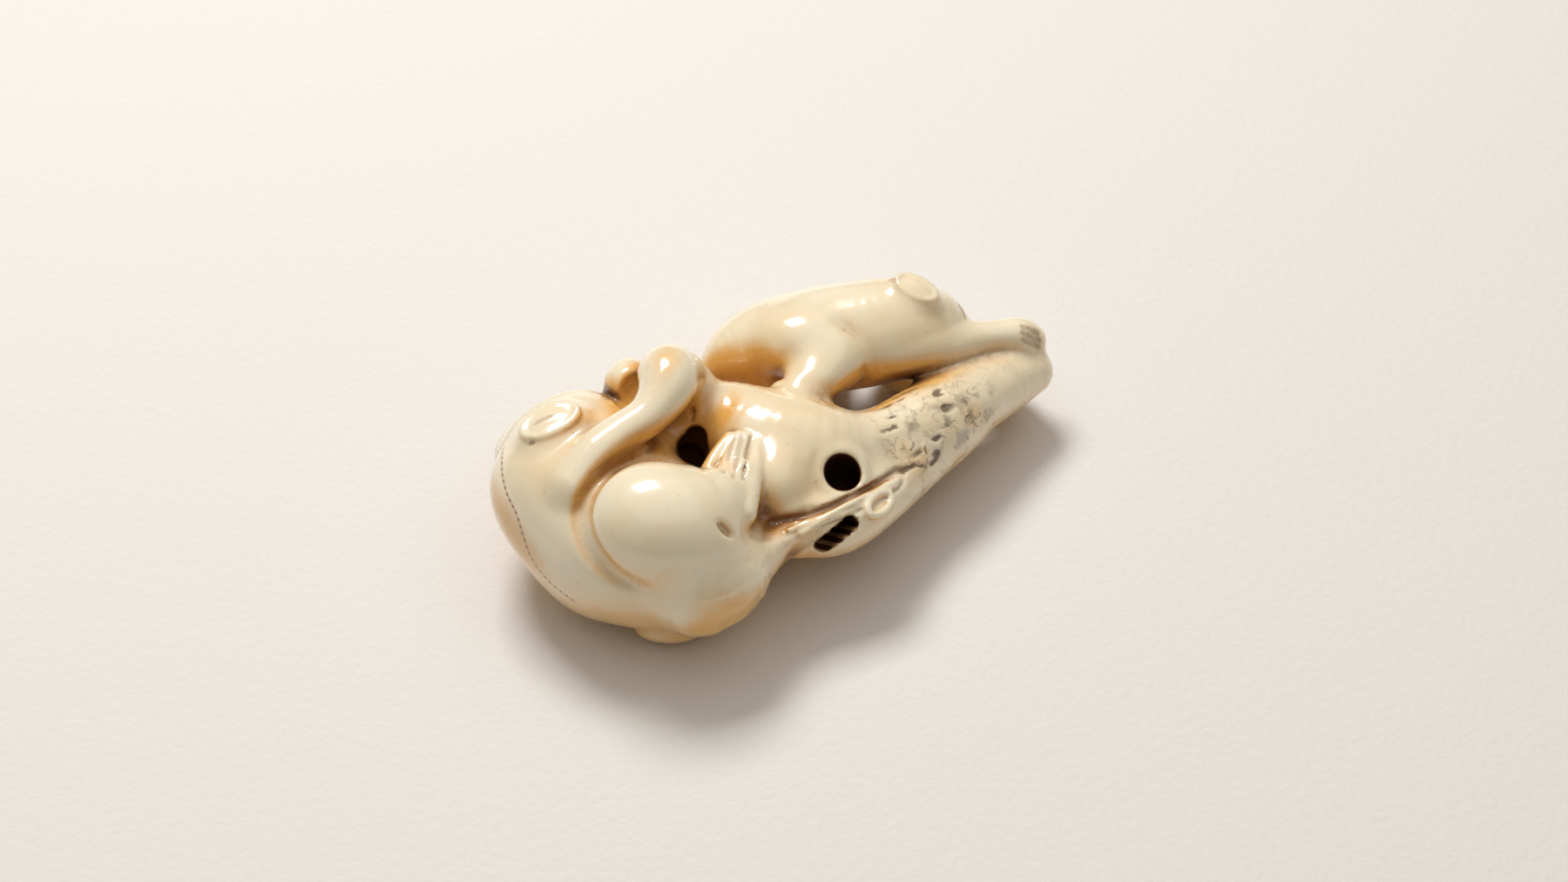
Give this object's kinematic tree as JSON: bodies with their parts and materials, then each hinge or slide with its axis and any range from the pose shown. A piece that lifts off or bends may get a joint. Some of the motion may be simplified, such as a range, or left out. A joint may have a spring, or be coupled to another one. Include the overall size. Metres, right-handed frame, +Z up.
{
  "type": "netsuke",
  "caption": "Carved one-piece netsuke of a large and a small frog clasping a knotty branch, with two joined cord holes.",
  "frame": {"origin": "centre of the footprint, on the table it lies on", "axes": "+X along the length from the large frog's snout to the branch's end, +Z up from the table"},
  "size_m": [0.0662, 0.038, 0.0255],
  "materials": {
    "carved_ivory": "polished, stained warm brown in the hollows"
  },
  "bodies": {
    "root": {"netsuke": "carved_ivory"}
  },
  "joints": []
}
